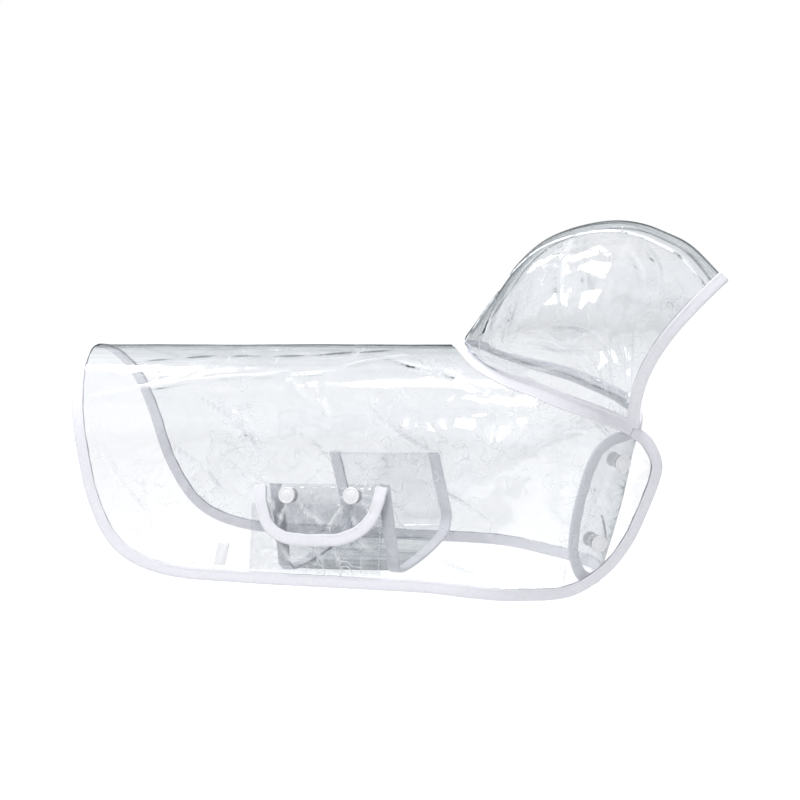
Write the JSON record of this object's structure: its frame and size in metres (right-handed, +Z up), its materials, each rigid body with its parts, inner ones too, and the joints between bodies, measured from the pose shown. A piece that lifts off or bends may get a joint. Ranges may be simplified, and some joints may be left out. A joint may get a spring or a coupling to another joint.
{
  "type": "dog raincoat",
  "caption": "Hooded dog raincoat of clear film with white bound edges, a snapped front, a flap pocket on its right side and a belly band.",
  "frame": {"origin": "on the back's film midway along the back, where the coat lies on its wearer", "axes": "+X towards the hood, +Z up, the coat's own right side with the pocket at -Y"},
  "size_m": [0.4932, 0.1938, 0.2678],
  "materials": {
    "film": "clear, glossy, soft",
    "tape": "matt woven tape",
    "snap": "moulded, satin"
  },
  "bodies": {
    "root": {"cape": "film", "hood_side_right": "film", "hood_side_left": "film", "hood_centre": "film", "pocket": "film", "pocket_flap": "film", "belly_band": "film", "hem_binding": "tape", "face_binding": "tape", "neck_binding": "tape", "flap_binding": "tape", "band_binding_rear": "tape", "band_binding_front": "tape", "hem_tab": "tape", "flap_snap_rear_cap": "snap", "flap_snap_rear_stud": "snap", "flap_snap_rear_socket": "snap", "flap_snap_rear_back": "snap", "flap_snap_front_cap": "snap", "flap_snap_front_stud": "snap", "flap_snap_front_socket": "snap", "flap_snap_front_back": "snap", "front_snap_upper_cap": "snap", "front_snap_upper_socket": "snap", "front_snap_upper_back": "snap", "front_snap_lower_cap": "snap", "front_snap_lower_socket": "snap", "front_snap_lower_back": "snap"}
  },
  "joints": []
}
